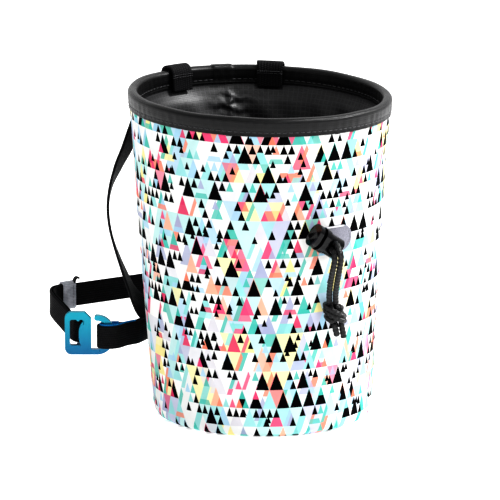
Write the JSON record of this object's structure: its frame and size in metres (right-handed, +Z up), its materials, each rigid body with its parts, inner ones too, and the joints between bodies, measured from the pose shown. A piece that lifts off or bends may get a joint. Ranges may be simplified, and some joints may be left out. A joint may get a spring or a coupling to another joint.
{
  "type": "climbing chalk bag",
  "caption": "Round climbing chalk bag with a stiff rim, gathered drawcord closure, sliding cord lock and a webbing belt with a hook buckle.",
  "frame": {"origin": "centre of the bag's underside, on the surface it stands on", "axes": "+Z up through the mouth, -Y towards the front, where the cord lock is to the right of centre, +X to the right; the belt leaves on the left, -X"},
  "size_m": [0.1726, 0.1416, 0.1658],
  "materials": {
    "printed_canvas": "printed plain weave with a multicolour triangle pattern",
    "black_nylon": "fine plain weave with a satin sheen",
    "fleece": "brushed fleece",
    "ripstop": "thin ripstop nylon with a faint grid",
    "hoop_plastic": "extruded rod",
    "braided_cord": "round braid",
    "black_metal": "black coated",
    "patch_grey": "fine grained coated fabric",
    "lock_plastic": "glossy moulded",
    "spring_steel": "wire",
    "webbing": "ribbed woven webbing",
    "keeper_grey": "knitted elastic",
    "lining_blue": "woven tape",
    "buckle_blue": "anodised satin",
    "pin_steel": "turned"
  },
  "bodies": {
    "bag": {"outer_shell": "printed_canvas", "base_panel": "black_nylon", "liner": "fleece", "rim_band": "black_nylon", "rim_hoop": "hoop_plastic", "closure_skirt": "ripstop", "drawcord_loop": "braided_cord", "eyelet": "black_metal", "eyelet_washer": "black_metal", "eyelet_patch": "patch_grey", "cord_strand_left": "braided_cord", "cord_strand_right": "braided_cord", "cord_knot": "braided_cord", "cord_tail_left": "braided_cord", "cord_tail_right": "braided_cord", "belt_loop_left": "webbing", "belt_loop_right": "webbing"},
    "belt": {"belt_rear_run": "webbing", "belt_left_bow": "webbing", "belt_right_drop": "webbing", "belt_hank": "webbing", "belt_hank_tie": "black_nylon", "belt_buckle_strap": "webbing"},
    "keeper": {"belt_keeper": "keeper_grey"},
    "buckle": {"hook_buckle": "buckle_blue", "buckle_pin": "pin_steel"},
    "end_loop": {"belt_end_loop": "webbing", "end_loop_lining": "lining_blue"},
    "cord_lock": {"cord_lock_body": "lock_plastic", "cord_lock_spring": "spring_steel"},
    "lock_button": {"cord_lock_button": "lock_plastic"}
  },
  "joints": [
    {"name": "belt_slip", "type": "hinge", "parent": "bag", "child": "belt", "pos_m": [0, 0, 0.145], "axis": [0, 0, 1], "range_deg": [-6, 6]},
    {"name": "keeper_slide", "type": "slide", "parent": "belt", "child": "keeper", "axis": [0.8609, 0.5087, 0], "range_m": [0, 0.01]},
    {"name": "buckle_swing", "type": "hinge", "parent": "belt", "child": "buckle", "pos_m": [-0.0898, 0.0067, 0.0394], "axis": [0, 0, 1], "range_deg": [0, 15]},
    {"name": "end_loop_swing", "type": "hinge", "parent": "belt", "child": "end_loop", "pos_m": [-0.0615, 0.0098, 0.0375], "axis": [0, 0, 1], "range_deg": [-15, 0]},
    {"name": "cord_lock_slide", "type": "slide", "parent": "bag", "child": "cord_lock", "axis": [0.4884, -0.8704, -0.0621], "range_m": [0, 0.002]},
    {"name": "lock_button_press", "type": "slide", "parent": "cord_lock", "child": "lock_button", "axis": [0.706, 0.436, -0.5581], "range_m": [0, 0.0015], "stiffness_N_per_m": 300, "springref_m": -0.002, "deforming": ["cord_lock_spring"]}
  ],
  "couplings": [
    {"joint": "end_loop_swing", "follows": "buckle_swing", "ratio": -1}
  ]
}
